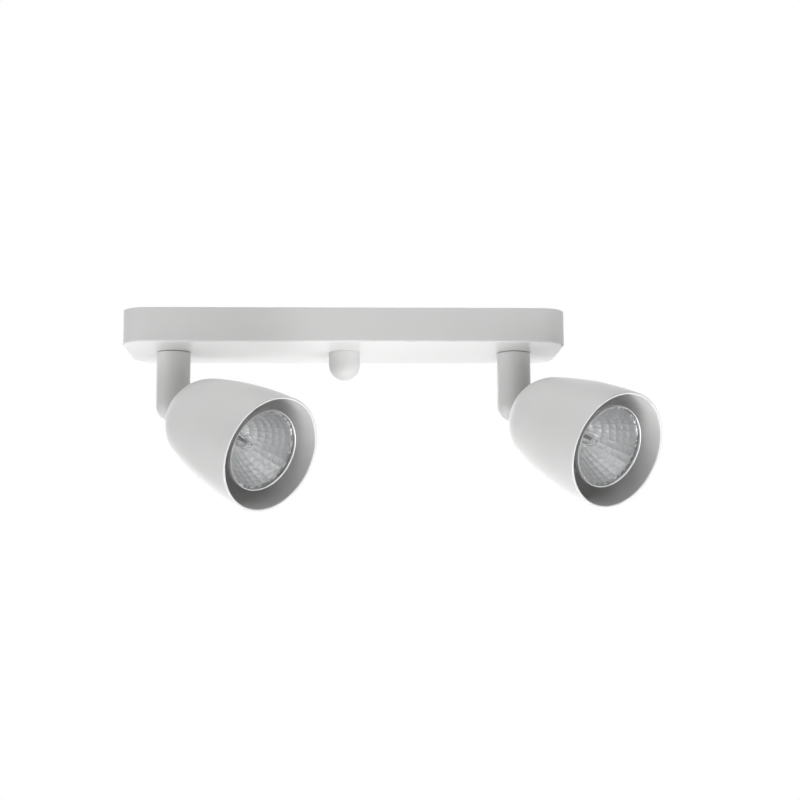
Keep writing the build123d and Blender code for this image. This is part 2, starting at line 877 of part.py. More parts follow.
def make_lamp_capsule(arm):
    """Quartz capsule that stands on the base plug, with a round tip."""
    radius = capsule_diameter / 2
    foot = base_front + base_plug_height
    shoulder = foot + capsule_length - radius
    with BuildPart() as capsule:
        with BuildSketch(arm.head):
            with BuildLine():
                Line((foot, 0), (foot, radius))
                Line((foot, radius), (shoulder, radius))
                CenterArc((shoulder, 0), radius, 90, -90)
                Line((shoulder + radius, 0), (foot, 0))
            make_face()
        revolve(axis=arm.aim_axis)
    return capsule.part


def make_lamp_pins(arm):
    """Two twist-lock pins: a neck at the base and a wider head behind the slot."""
    neck_length = pin_length - pin_head_length
    with BuildPart() as pins:
        with BuildSketch(arm.across(base_end)):
            with PolarLocations(pin_spacing / 2, 2):
                Circle(pin_neck_diameter / 2)
        extrude(amount=-neck_length)
        with BuildSketch(arm.across(base_end - neck_length)):
            with PolarLocations(pin_spacing / 2, 2):
                Circle(pin_diameter / 2)
        extrude(amount=-pin_head_length)
    return pins.part


# ---------------------------------------------------------------- build and write

canopy_pieces = {
    "canopy_cover": make_canopy_cover,
    "stop_pegs": make_stop_pegs,
    "mounting_bracket": make_mounting_bracket,
    "centre_stud": make_centre_stud,
    "stud_nuts": make_stud_nuts,
    "cap_nut": make_cap_nut,
    "terminal_block": make_terminal_block,
    "terminal_screws": make_terminal_screws,
    "terminal_fixings": make_terminal_fixings,
    "earth_washer": make_earth_washer,
    "earth_screw": make_earth_screw,
}
arm_pieces = {
    "stem": make_stem,
    "nipple": make_nipple,
    "friction_washer": make_friction_washer,
    "stop_washer": make_stop_washer,
    "spring_washer": make_spring_washer,
    "lock_nut": make_lock_nut,
    "pivot_screw": make_pivot_screw,
    "tilt_washers": make_tilt_washers,
    "shade": make_shade,
    "knuckle": make_knuckle,
    "holder_bracket": make_holder_bracket,
    "bracket_screws": make_bracket_screws,
    "lamp_holder": make_lamp_holder,
    "holder_screws": make_holder_screws,
    "lamp_reflector": make_lamp_reflector,
    "lamp_glass": make_lamp_glass,
    "lamp_capsule": make_lamp_capsule,
    "lamp_base": make_lamp_base,
    "lamp_pins": make_lamp_pins,
}

for name, make in canopy_pieces.items():
    save(make(), name)
for arm in arms:
    for name, make in arm_pieces.items():
        save(make(arm), f"{arm.name}_{name}")
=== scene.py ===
# %% [markdown]
# # A ceiling bar with two spotlights
# The bar is a shallow white canopy. Two round stems hang from it, and each ends in a ball
# that is slotted as a fork. A bullet-shaped head tilts in each fork and holds a 50 mm
# reflector lamp. The working model comes first, as a fixed frame: its nodes are never
# moved or reshaped. This script gives them their finishes, and models the pieces that
# need more than the working model holds: the shades, the lamps and the domed knob.

# %% Load the frame
import json
from math import radians

import bpy
import numpy as np
from mathutils import Euler, Matrix, Vector


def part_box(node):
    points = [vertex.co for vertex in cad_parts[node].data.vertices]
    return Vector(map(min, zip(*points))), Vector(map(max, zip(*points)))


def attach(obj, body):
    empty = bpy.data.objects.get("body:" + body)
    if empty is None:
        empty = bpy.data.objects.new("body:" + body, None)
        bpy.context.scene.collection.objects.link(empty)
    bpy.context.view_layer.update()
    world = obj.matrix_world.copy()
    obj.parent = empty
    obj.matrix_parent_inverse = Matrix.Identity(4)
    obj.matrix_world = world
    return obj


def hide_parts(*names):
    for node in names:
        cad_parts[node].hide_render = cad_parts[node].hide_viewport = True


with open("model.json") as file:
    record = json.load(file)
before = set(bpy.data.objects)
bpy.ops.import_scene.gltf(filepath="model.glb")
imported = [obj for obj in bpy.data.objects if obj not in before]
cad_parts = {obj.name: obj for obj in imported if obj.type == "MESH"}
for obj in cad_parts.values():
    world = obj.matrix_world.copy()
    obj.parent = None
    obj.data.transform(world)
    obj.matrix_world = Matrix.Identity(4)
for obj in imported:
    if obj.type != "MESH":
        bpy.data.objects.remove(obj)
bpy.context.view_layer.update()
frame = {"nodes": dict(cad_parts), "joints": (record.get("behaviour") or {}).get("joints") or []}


# %% [markdown]
# ## Sizes
# A size is written once, in metres. What the frame can tell is read from it instead: each
# tilt joint gives its head's pivot and hinge line, and its lower limit tells how far the
# head already droops, because every head's limit is the same droop below the horizontal.

# %% Sizes of the heads and lamps
MM = 0.001
LEAST_DROOP = 12.0          # degrees, where the fork's roof stops the head

APEX = 11.0 * MM            # from the pivot to the shade's dome, along the aim
DOME_RADIUS = 28.0 * MM
DOME_SWEEP = 75.0           # degrees of dome before the long side arc starts
RIM = 95.5 * MM             # from the pivot to the mouth's plane
RIM_RADIUS = 35.5 * MM
SHADE_WALL = 1.5 * MM
RIM_BEAD = 0.75 * MM        # radius of the rolled edge at the mouth

LAMP_FACE = 88.5 * MM       # from the pivot to the front of the lamp's lip
LAMP_RADIUS = 25.0 * MM
LAMP_LIP = 3.2 * MM         # how far the lip reaches back
LIP_WALL = 0.9 * MM         # of the lip, round the front glass
MIRROR_INSET = 2.2 * MM     # from the lamp's edge to the mirror's edge
BOWL_DEPTH = 33.0 * MM
BOWL_NECK = 10.5 * MM       # outer radius at the bowl's back
THROAT_RADIUS = 5.5 * MM    # inner radius there
PLUG_HEIGHT = 3.0 * MM      # of the lamp's base, inside the throat
GLASS_INSET = 1.4 * MM
GLASS_THICKNESS = 1.6 * MM
CAPSULE_LENGTH = 18.5 * MM
CAPSULE_RADIUS = 4.4 * MM
CAPSULE_WALL = 0.9 * MM

BOWL_BASE = LAMP_FACE - BOWL_DEPTH
GLASS_SEAT = LAMP_FACE - GLASS_INSET - GLASS_THICKNESS
CAPSULE_FOOT = BOWL_BASE + PLUG_HEIGHT

# %% Where each head is and which way it points
heads = {}
for joint in frame["joints"]:
    if joint["name"].endswith("_tilt"):
        side = joint["name"].split("_")[0]
        hinge = np.array(joint["axis"], float)
        hinge /= np.linalg.norm(hinge)
        droop = radians(LEAST_DROOP - joint["range_deg"][0])
        heading = np.cross(hinge, [0.0, 0.0, 1.0])
        aim = np.cos(droop) * heading - np.sin(droop) * np.array([0.0, 0.0, 1.0])
        heads[side] = {
            "pivot": np.array(joint["pos_m"], float),
            "hinge": hinge,
            "aim": aim,
            "up": np.cross(aim, hinge),
        }
        print(side, "head droops", round(np.degrees(droop), 1), "degrees")

# %% [markdown]
# ## Surfaces from numbers
# A surface here is a grid of points, worked out as one array. Neighbouring points in the
# grid become the corners of a face. A grid may close on itself across its columns, as a
# turned piece does, or across its rows, as a ring does. Where a turned piece meets its
# own axis, its whole row falls on one point, and welding turns that row into a closed pole.

# %% From a grid to a mesh
import bmesh

WELD = 1e-6                 # metres, within which two points become one
SLIVER = 1e-7               # metres, within which a face counts as collapsed
FOLD = 35.0                 # degrees, above which an edge stays sharp


def grid_mesh(name, grids, sharp=FOLD, hollow=False):
    """
    One mesh from grids of points, each an array of rows by columns by 3.

    Face (i, j) has the corners (i, j), (i, j+1), (i+1, j+1), (i+1, j). Each grid comes with
    a flag for columns that close and one for rows that close. Doubles are merged, faces
    are turned outwards, and edges that fold by more than the sharp angle stay sharp. Where
    the last grid bounds a hollow, its faces are turned round after that.
    """
    points, faces, first = [], [], 0
    for grid, columns_close, rows_close in grids:
        rows, columns = grid.shape[:2]
        index = first + np.arange(rows * columns).reshape(rows, columns)
        if columns_close:
            index = np.concatenate([index, index[:, :1]], axis=1)
        if rows_close:
            index = np.concatenate([index, index[:1]], axis=0)
        corners = [index[:-1, :-1], index[:-1, 1:], index[1:, 1:], index[1:, :-1]]
        faces.append(np.stack(corners, axis=-1).reshape(-1, 4))
        points.append(grid.reshape(-1, 3))
        first += rows * columns
    mesh = bpy.data.meshes.new(name)
    mesh.from_pydata(np.concatenate(points).tolist(), [], np.concatenate(faces).tolist())
    # The material index marks the last grid's faces until they have been turned round.
    in_last = np.concatenate([np.full(len(part), part is faces[-1]) for part in faces])
    mesh.polygons.foreach_set("material_index", in_last.astype(np.int32))
    body = bmesh.new()
    body.from_mesh(mesh)
    bmesh.ops.remove_doubles(body, verts=body.verts, dist=WELD)
    bmesh.ops.dissolve_degenerate(body, edges=body.edges, dist=SLIVER)
    bmesh.ops.recalc_face_normals(body, faces=body.faces)
    if hollow:
        marked = [face for face in body.faces if face.material_index]
        bmesh.ops.reverse_faces(body, faces=marked)
    body.to_mesh(mesh)
    body.free()
    mesh.polygons.foreach_set("material_index", np.zeros(len(mesh.polygons), np.int32))
    mesh.polygons.foreach_set("use_smooth", np.ones(len(mesh.polygons), bool))
    mesh.set_sharp_from_angle(angle=radians(sharp))
    piece = bpy.data.objects.new(name, mesh)
    bpy.context.scene.collection.objects.link(piece)
    print(name, "has", len(mesh.polygons), "faces")
    return piece


# %% Turning a profile about a head's aim
def turned(head, profile, around, dent=None):
    """
    Grid of a turned piece: pivot + along * aim + out * (cos a * hinge + sin a * up).

    The profile is rows of (along, out), and the angle a runs once round in equal steps.
    A dent is an array of rows by steps that is taken from the radius, for facets.
    """
    along, out = profile[:, :1], profile[:, 1:]
    turn = np.linspace(0, 2 * np.pi, around, endpoint=False)[None, :]
    radius = out + np.zeros_like(turn)
    if dent is not None:
        radius = radius - dent
    return (
        head["pivot"]
        + along[..., None] * head["aim"]
        + (radius * np.cos(turn))[..., None] * head["hinge"]
        + (radius * np.sin(turn))[..., None] * head["up"]
    )


def arc(centre, radius, start, end, steps):
    """Points of an arc: centre + radius * (cos t, sin t), with t in degrees."""
    t = np.radians(np.linspace(start, end, steps))
    return np.stack([centre[0] + radius * np.cos(t), centre[1] + radius * np.sin(t)], axis=1)


# %% [markdown]
# ## Nodes that several finishes share
# Paint, plating and ceramic differ, but each needs a fine uneven surface. The unevenness is
# built once as a shader group and placed in each finish with its own values. The groups
# give out only what changes over the surface. They read Object coordinates, so a pattern
# keeps its real size in millimetres and stays on its piece when the head turns.


# %% Helpers that make a shader group
def new_group(name, inputs, outputs):
    """Shader group with number inputs and outputs, and a node for its object coordinates."""
    group = bpy.data.node_groups.new(name, "ShaderNodeTree")
    number = "NodeSocketFloat"
    for label, value in inputs.items():
        socket = group.interface.new_socket(label, in_out="INPUT", socket_type=number)
        socket.default_value = value
    for label in outputs:
        group.interface.new_socket(label, in_out="OUTPUT", socket_type=number)
    entry = group.nodes.new("NodeGroupInput")
    leave = group.nodes.new("NodeGroupOutput")
    place = group.nodes.new("ShaderNodeTexCoord")
    return group, entry, leave, place


def put(tree, kind, **settings):
    """Adds a node of this kind and sets its properties by name."""
    node = tree.nodes.new(kind)
    for key, value in settings.items():
        setattr(node, key, value)
    return node


def sized_texture(group, entry, vector, size, kind):
    """Texture node at scale 1 / size, where size names one of the group's inputs."""
    scale = put(group, "ShaderNodeMath", operation="DIVIDE")
    scale.inputs[0].default_value = 1.0
    texture = put(group, kind)
    group.links.new(entry.outputs[size], scale.inputs[1])
    group.links.new(scale.outputs[0], texture.inputs["Scale"])
    group.links.new(vector, texture.inputs["Vector"])
    return texture


# %% Flow: the soft ripple of sprayed enamel, with slow clouds in its tone
def make_paint_flow():
    """Ripple is fine noise at Ripple Size. Cloud is slow noise at Cloud Size, from 0 to 1."""
    group, entry, leave, place = new_group(
        "paint_flow", {"Ripple Size": 0.0012, "Cloud Size": 0.03}, ["Ripple", "Cloud"]
    )
    for result, detail in (("Ripple", 1.0), ("Cloud", 2.0)):
        noise = sized_texture(
            group, entry, place.outputs["Object"], f"{result} Size", "ShaderNodeTexNoise"
        )
        noise.inputs["Detail"].default_value = detail
        group.links.new(noise.outputs["Fac"], leave.inputs[result])
    return group


# %% Grain: the crystal patches and fine drawn lines of plated metal
LINE_STRETCH = 0.06         # scale along Z, so that a line runs long that way


def make_plate_grain():
    """Patch is one tone for each crystal cell. Line is noise stretched along Z."""
    group, entry, leave, place = new_group(
        "plate_grain", {"Patch Size": 0.0015, "Line Size": 0.0004}, ["Patch", "Line"]
    )
    cells = sized_texture(
        group, entry, place.outputs["Object"], "Patch Size", "ShaderNodeTexVoronoi"
    )
    tone = put(group, "ShaderNodeSeparateColor")
    group.links.new(cells.outputs["Color"], tone.inputs["Color"])
    group.links.new(tone.outputs["Red"], leave.inputs["Patch"])
    stretch = put(group, "ShaderNodeMapping")
    stretch.inputs["Scale"].default_value = (1.0, 1.0, LINE_STRETCH)
    group.links.new(place.outputs["Object"], stretch.inputs["Vector"])
    lines = sized_texture(
        group, entry, stretch.outputs["Vector"], "Line Size", "ShaderNodeTexNoise"
    )
    group.links.new(lines.outputs["Fac"], leave.inputs["Line"])
    return group


# %% Speckle: the darker spots of fired ceramic and moulded nylon
def make_speckle():
    """Pore is 1 inside small round spots set at random, and 0 between them."""
    group, entry, leave, place = new_group(
        "speckle", {"Grain Size": 0.0008, "Spot Share": 0.25}, ["Pore"]
    )
    cells = sized_texture(
        group, entry, place.outputs["Object"], "Grain Size", "ShaderNodeTexVoronoi"
    )
    spot = put(group, "ShaderNodeMath", operation="LESS_THAN")
    group.links.new(cells.outputs["Distance"], spot.inputs[0])
    group.links.new(entry.outputs["Spot Share"], spot.inputs[1])
    group.links.new(spot.outputs[0], leave.inputs["Pore"])
    return group


paint_flow = make_paint_flow()
plate_grain = make_plate_grain()
speckle = make_speckle()
print("shader groups:", [group.name for group in (paint_flow, plate_grain, speckle)])

# %% [markdown]
# ## Finishes
# A finish mixes two close colours by one of the shared patterns, lets the same pattern
# change the roughness a little, and feeds a very shallow bump. The depth of a bump is
# given in metres, so it is as fine as the real one. Everything that is the same all over
# a surface is a plain number on the shader.


# %% One function for every patterned finish
def finish(name, group, sizes, colours, rough, depth, tone, relief, **plain):
    """
    Material of a patterned finish.

    colours are the two colours mixed by the group's tone output, rough the roughness at its
    two ends, depth the bump's height in metres from its relief output, and plain the values
    that are the same all over, by socket name with underscores for spaces.
    """
    material = bpy.data.materials.new(name)
    material.use_nodes = True
    tree = material.node_tree
    shader = tree.nodes["Principled BSDF"]
    pattern = put(tree, "ShaderNodeGroup", node_tree=group)
    for label, value in sizes.items():
        pattern.inputs[label].default_value = value
    # A mix node's colours are its sockets 6 and 7, and their mixture is its output 2.
    mix = put(tree, "ShaderNodeMix", data_type="RGBA")
    mix.inputs[6].default_value = (*colours[0], 1)
    mix.inputs[7].default_value = (*colours[1], 1)
    tree.links.new(pattern.outputs[tone], mix.inputs[0])
    tree.links.new(mix.outputs[2], shader.inputs["Base Color"])
    roughness = put(tree, "ShaderNodeMapRange")
    roughness.inputs["To Min"].default_value = rough[0]
    roughness.inputs["To Max"].default_value = rough[1]
    tree.links.new(pattern.outputs[tone], roughness.inputs["Value"])
    tree.links.new(roughness.outputs["Result"], shader.inputs["Roughness"])
    bump = put(tree, "ShaderNodeBump")
    bump.inputs["Distance"].default_value = depth
    tree.links.new(pattern.outputs[relief], bump.inputs["Height"])
    tree.links.new(bump.outputs["Normal"], shader.inputs["Normal"])
    for label, value in plain.items():
        shader.inputs[label.replace("_", " ")].default_value = value
    return material


# %% White enamel, on steel and on the shades, with a paler copy inside the shades as painted light
FINE = 0.00001              # metres, the bump's depth on a smooth surface
WHITES = [(0.775, 0.775, 0.770), (0.805, 0.805, 0.800)]
# The paler inner whites are painted light: they stand for the light that falls into the mouths.
PAINTED_LIGHT_INNER_WHITES = [(0.875, 0.875, 0.870), (0.900, 0.900, 0.895)]

enamel = finish(
    "white_enamel", paint_flow, {"Ripple Size": 0.0014, "Cloud Size": 0.035},
    WHITES, (0.36, 0.44), FINE, "Cloud", "Ripple", Specular_IOR_Level=0.4,
)
head_enamel = finish(
    "head_enamel", paint_flow, {"Ripple Size": 0.0011, "Cloud Size": 0.025},
    WHITES, (0.36, 0.44), FINE, "Cloud", "Ripple", Specular_IOR_Level=0.4,
)
# A paler copy of the same enamel, painted light for the lit inside of the shades.
inner_painted_light_enamel = finish(
    "inner_painted_light_enamel", paint_flow, {"Ripple Size": 0.0011, "Cloud Size": 0.025},
    PAINTED_LIGHT_INNER_WHITES, (0.34, 0.42), FINE, "Cloud", "Ripple", Specular_IOR_Level=0.4,
)

# %% Plated and bare metals
zinc = finish(
    "bright_zinc", plate_grain, {"Patch Size": 0.0016, "Line Size": 0.0005},
    [(0.52, 0.53, 0.56), (0.68, 0.68, 0.67)], (0.24, 0.36), FINE, "Patch", "Line",
    Metallic=1.0,
)
spring = finish(
    "blued_spring", plate_grain, {"Patch Size": 0.004, "Line Size": 0.0006},
    [(0.13, 0.14, 0.19), (0.22, 0.22, 0.25)], (0.28, 0.4), FINE, "Line", "Line",
    Metallic=1.0,
)
brass = finish(
    "plated_brass", plate_grain, {"Patch Size": 0.002, "Line Size": 0.0005},
    [(0.60, 0.46, 0.20), (0.70, 0.56, 0.28)], (0.2, 0.32), FINE, "Line", "Line",
    Metallic=1.0,
)
weld = finish(
    "painted_weld", paint_flow, {"Ripple Size": 0.0008, "Cloud Size": 0.004},
    [(0.66, 0.66, 0.66), (0.78, 0.78, 0.775)], (0.4, 0.6), 0.00006, "Cloud", "Ripple",
)
tungsten = finish(
    "coiled_tungsten", plate_grain, {"Patch Size": 0.0006, "Line Size": 0.0002},
    [(0.26, 0.26, 0.27), (0.36, 0.36, 0.37)], (0.3, 0.45), 0.000004, "Line", "Line",
    Metallic=1.0,
)

# %% Nylon and ceramic
nylon = finish(
    "natural_nylon", speckle, {"Grain Size": 0.0007, "Spot Share": 0.2},
    [(0.78, 0.78, 0.74), (0.72, 0.72, 0.68)], (0.45, 0.55), FINE, "Pore", "Pore",
    Subsurface_Weight=0.25, Subsurface_Radius=(0.002, 0.002, 0.0018),
)
ceramic = finish(
    "fired_ceramic", speckle, {"Grain Size": 0.0009, "Spot Share": 0.22},
    [(0.76, 0.75, 0.71), (0.62, 0.60, 0.55)], (0.7, 0.82), 0.00003, "Pore", "Pore",
)

# %% The bowl: metallised inside, pressed glass outside
bowl_coat = finish(
    "bowl_coat", paint_flow, {"Ripple Size": 0.0009, "Cloud Size": 0.006},
    [(0.72, 0.72, 0.73), (0.84, 0.84, 0.84)], (0.34, 0.46), FINE, "Cloud", "Ripple",
    Metallic=1.0,
)
pressed_glass = finish(
    "pressed_glass", paint_flow, {"Ripple Size": 0.0016, "Cloud Size": 0.008},
    [(0.34, 0.34, 0.35), (0.42, 0.42, 0.42)], (0.30, 0.42), FINE, "Cloud", "Ripple",
)

# %% Clear glass
GLASS_IOR = 1.47
GLASS_WAVE = 0.004          # metres, the size of the faint wave in a face


def make_glass(name, colour, roughness):
    """Clear glass, with a faint wave in its face."""
    material = bpy.data.materials.new(name)
    material.use_nodes = True
    tree = material.node_tree
    shader = tree.nodes["Principled BSDF"]
    shader.inputs["Base Color"].default_value = (*colour, 1)
    shader.inputs["Roughness"].default_value = roughness
    shader.inputs["Transmission Weight"].default_value = 1.0
    shader.inputs["IOR"].default_value = GLASS_IOR
    pattern = put(tree, "ShaderNodeGroup", node_tree=paint_flow)
    pattern.inputs["Ripple Size"].default_value = GLASS_WAVE
    bump = put(tree, "ShaderNodeBump")
    bump.inputs["Distance"].default_value = FINE
    tree.links.new(pattern.outputs["Ripple"], bump.inputs["Height"])
    tree.links.new(bump.outputs["Normal"], shader.inputs["Normal"])
    return material


front_glass = make_glass("front_glass", (0.96, 0.97, 0.97), 0.02)
quartz = make_glass("quartz", (0.97, 0.97, 0.97), 0.01)

# %% [markdown]
# ## Dressing the working model
# The canopy, stems, knuckles, brackets, washers, nuts and screws already have their true
# shape. Each keeps it, and only its material slot is filled anew. The few nodes that a new
# piece stands for further down are in the table too.

# %% Give every node its finish
finish_of = {
    "canopy_cover": enamel, "stop_pegs": weld, "mounting_bracket": zinc, "centre_stud": zinc,
    "stud_nuts": zinc, "terminal_block": nylon, "terminal_screws": brass,
    "terminal_fixings": zinc, "earth_washer": brass, "earth_screw": brass,
    "stem": enamel, "nipple": zinc, "friction_washer": nylon, "stop_washer": zinc,
    "spring_washer": spring, "lock_nut": zinc, "pivot_screw": zinc, "tilt_washers": nylon,
    "knuckle": head_enamel, "holder_bracket": zinc, "bracket_screws": zinc,
    "lamp_holder": ceramic, "holder_screws": zinc, "lamp_base": ceramic, "lamp_pins": zinc,
    "shade": head_enamel, "cap_nut": enamel, "lamp_reflector": bowl_coat,
    "lamp_glass": front_glass, "lamp_capsule": quartz,
}
for name, node in frame["nodes"].items():
    kind = name.split("_", 1)[1] if name.split("_")[0] in heads else name
    node.data.materials.clear()
    node.data.materials.append(finish_of[kind])
print("finished", len(frame["nodes"]), "nodes")


# %% Hand a new piece to its body
def settle(piece, material, body, slot, *nodes):
    """The piece takes its material, rides on its body, and stands for the nodes named."""
    piece.data.materials.clear()
    piece.data.materials.append(material)
    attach(piece, body)
    if nodes:
        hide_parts(*nodes)
    return piece


# %% A second finish for the inside of a turned piece
def coat_inside(piece, head, material):
    """Faces whose normal points towards the aim line, not away from it, take the material."""
    centres = np.empty(len(piece.data.polygons) * 3)
    normals = np.empty_like(centres)
    piece.data.polygons.foreach_get("center", centres)
    piece.data.polygons.foreach_get("normal", normals)
    from_pivot = centres.reshape(-1, 3) - head["pivot"]
    outward = from_pivot - (from_pivot @ head["aim"])[:, None] * head["aim"]
    inside = (normals.reshape(-1, 3) * outward).sum(axis=1) < 0
    piece.data.materials.append(material)
    piece.data.polygons.foreach_set("material_index", inside.astype(np.int32))
    print(piece.name, "has", int(inside.sum()), "faces inside")
    return piece


# %% [markdown]
# ## Shades
# A spun shade is a dome that runs into one long, nearly straight arc, with a rolled bead at
# the mouth. Turning a profile gives it exactly. The side arc has to leave the dome at a
# tangent and end at the mouth, which leaves one circle: its centre lies on the dome's own
# radius through the joint, as far from the joint as it is from the mouth's edge.


# %% Profile of the bullet
def bullet_profile(inset, mouth, dome_steps=26, side_steps=40):
    """
    Rows of (along, out) from the apex to the mouth, for a wall set in by the inset.

    The dome is an arc of the dome's radius. With v from the joint to the mouth's edge and n
    the inward normal there, the side arc's radius is v.v / (2 v.n).
    """
    centre = np.array([APEX + DOME_RADIUS, 0.0])
    dome = arc(centre, DOME_RADIUS - inset, 180, 180 - DOME_SWEEP, dome_steps)
    joint = dome[-1]
    inward = (centre - joint) / np.linalg.norm(centre - joint)
    end = np.array([mouth, RIM_RADIUS - inset])
    reach = end - joint
    radius = reach @ reach / (2 * reach @ inward)
    middle = joint + radius * inward
    start_angle = np.degrees(np.arctan2(*(joint - middle)[::-1]))
    end_angle = np.degrees(np.arctan2(*(end - middle)[::-1]))
    side_arc = arc(middle, radius, start_angle, end_angle, side_steps)
    return np.concatenate([dome, side_arc[1:]])


# %% Build both shades
SHADE_AROUND = 192
BEAD_STEPS = 11


def make_shade(side):
    """Closed shell: outer wall, half-round bead at the mouth, inner wall back to the apex."""
    head = heads[side]
    outer = bullet_profile(0.0, RIM - RIM_BEAD)
    inner = bullet_profile(SHADE_WALL, RIM - RIM_BEAD)
    bead = arc((RIM - RIM_BEAD, RIM_RADIUS - RIM_BEAD), RIM_BEAD, 90, -90, BEAD_STEPS)
    profile = np.concatenate([outer, bead[1:-1], inner[::-1]])
    shell = turned(head, profile, SHADE_AROUND)
    piece = grid_mesh(f"{side}_shade_shell", [(shell, True, False)])
    settle(piece, head_enamel, f"{side}_head", "white_casting", f"{side}_shade")
    # The inside takes a paler white than the outside: painted light, for the light that falls
    # into the mouth.
    return coat_inside(piece, head, inner_painted_light_enamel)


for side in heads:
    make_shade(side)

# %% [markdown]
# ## Lamps
# The lamp is a pressed glass bowl with a metallised inside, a quartz capsule with its
# filament, and a clear front glass. The bowl's inside is a parabola broken into facets,
# which spread the light, and which make the mottled look of the mouth when it is off.
# A facet is the parabola's own patch, swollen a little towards the axis.

# %% The bowl
RINGS = 7                   # of facets, from the throat to the mirror's edge
FACETS = 28                 # in each ring
FACET_SWELL = 0.34 * MM
FACET_STEPS = 6             # faces across one facet, each way
FACET_FOLD = 9.0            # degrees, above which an edge stays sharp
SHOULDER_INSET = 0.8 * MM   # from the lamp's edge to the bowl behind the lip
INNER_ROUND = 0.4 * MM      # radii of the lip's three rounded edges
FRONT_ROUND = 0.5 * MM
BACK_ROUND = 0.3 * MM
OUTER_STEPS = 30            # along the bowl's outside


def parabola(low, high, steps):
    """Rows of (along, out) with out = sqrt(a + b * along), at even steps of out squared."""
    out = np.sqrt(np.linspace(low[1] ** 2, high[1] ** 2, steps))
    along = low[0] + (high[0] - low[0]) * (out**2 - low[1] ** 2) / (high[1] ** 2 - low[1] ** 2)
    return np.stack([along, out], axis=1)


def make_bowl(side):
    """
    Closed bowl. A facet brings the inner wall nearer the axis by swell * sin(pi a) *
    sin(pi b), where a and b run from 0 to 1 across it, so its edges stay on the parabola
    and fold sharply.
    """
    mirror_edge = (GLASS_SEAT, LAMP_RADIUS - MIRROR_INSET)
    inner = parabola((CAPSULE_FOOT, THROAT_RADIUS), mirror_edge, RINGS * FACET_STEPS + 1)
    step = LAMP_RADIUS - LIP_WALL
    back = LAMP_FACE - LAMP_LIP
    lip = np.concatenate([
        [(GLASS_SEAT, step)],
        arc((LAMP_FACE - INNER_ROUND, step + INNER_ROUND), INNER_ROUND, 270, 360, 5),
        arc((LAMP_FACE - FRONT_ROUND, LAMP_RADIUS - FRONT_ROUND), FRONT_ROUND, 0, 90, 5),
        arc((back + BACK_ROUND, LAMP_RADIUS - BACK_ROUND), BACK_ROUND, 90, 180, 4),
    ])
    behind_lip = (back, LAMP_RADIUS - SHOULDER_INSET)
    outer = parabola((BOWL_BASE, BOWL_NECK), behind_lip, OUTER_STEPS)[::-1]
    profile = np.concatenate([inner, lip, outer, [(BOWL_BASE, THROAT_RADIUS)]])
    around = FACETS * FACET_STEPS
    rows = np.zeros(len(profile))
    rows[: len(inner)] = np.abs(np.sin(np.pi * np.linspace(0, RINGS, len(inner))))
    columns = np.abs(np.sin(np.pi * np.linspace(0, FACETS, around, endpoint=False)))
    dent = FACET_SWELL * rows[:, None] * columns[None, :]
    grid = turned(heads[side], profile, around, dent)
    piece = grid_mesh(f"{side}_lamp_bowl", [(grid, True, True)], sharp=FACET_FOLD)
    settle(piece, pressed_glass, f"{side}_head", "mirror_coating", f"{side}_lamp_reflector")
    return coat_inside(piece, heads[side], bowl_coat)


for side in heads:
    make_bowl(side)

# %% [markdown]
# The front glass is a disc with rounded edges, whose front is domed by a few tenths of a
# millimetre. It is a turned piece too: its profile runs from the axis over the face, round
# the edge and back, so the two ends become poles.


# %% The front glass
GLASS_PLAY = 0.08 * MM      # between the glass and the lip round it
GLASS_EDGE = 0.35 * MM      # radius of its rounded edges
GLASS_DOME = 0.3 * MM
GLASS_STEPS = 20            # over its front, from the axis to the edge
GLASS_AROUND = 96


def make_front_glass(side):
    """Disc whose front rises towards the axis by dome * (1 - (out / radius) squared)."""
    radius = LAMP_RADIUS - LIP_WALL - GLASS_PLAY
    flat = radius - GLASS_EDGE
    front = GLASS_SEAT + GLASS_THICKNESS - GLASS_DOME
    out = np.linspace(0, flat, GLASS_STEPS)
    face = np.stack([front + GLASS_DOME * (1 - (out / radius) ** 2), out], axis=1)
    front_edge = arc((front - GLASS_EDGE, flat), GLASS_EDGE, 0, 90, 5)
    back_edge = arc((GLASS_SEAT + GLASS_EDGE, flat), GLASS_EDGE, 90, 180, 5)
    inwards = np.linspace(flat, 0, GLASS_STEPS // 2)
    back = np.stack([np.full_like(inwards, GLASS_SEAT), inwards], axis=1)
    profile = np.concatenate([face, front_edge[1:], back_edge, back[1:]])
    disc = turned(heads[side], profile, GLASS_AROUND)
    piece = grid_mesh(f"{side}_front_glass", [(disc, True, False)])
    return settle(piece, front_glass, f"{side}_head", "clear_glass", f"{side}_lamp_glass")


for side in heads:
    make_front_glass(side)

# %% [markdown]
# The capsule is a small quartz tube. Its lower end was pinched flat while hot, round two
# leads, and its tip keeps the nipple where it was filled. The pinch is one formula: the
# tube's cross-section is an ellipse, whose two half-widths change along its length.


# %% The quartz capsule
PINCH_HALF = 1.5 * MM       # half the pinch's thickness
PINCH_SPAN = (4.5 * MM, 8.0 * MM)   # where it widens to the tube, from the foot
SHOULDER = 5.5 * MM         # from the tip back to where the tube starts to close
SHOULDER_REACH = 4.6 * MM   # how far it takes to close
NIPPLE_RADIUS = 0.7 * MM
NIPPLE_LENGTH = 2.0 * MM
GAS_SPACE = (6.5 * MM, 16.7 * MM)   # the hollow's two ends, from the foot
END_STEPS = 14              # round each end of the hollow
CAPSULE_AROUND = 40
CAPSULE_FOLD = 60.0         # degrees, above which an edge stays sharp


def blend(x, low, high):
    """Smooth step: 0 below low, 1 above high, and 3t^2 - 2t^3 between them."""
    t = np.clip((x - low) / (high - low), 0, 1)
    return t * t * (3 - 2 * t)


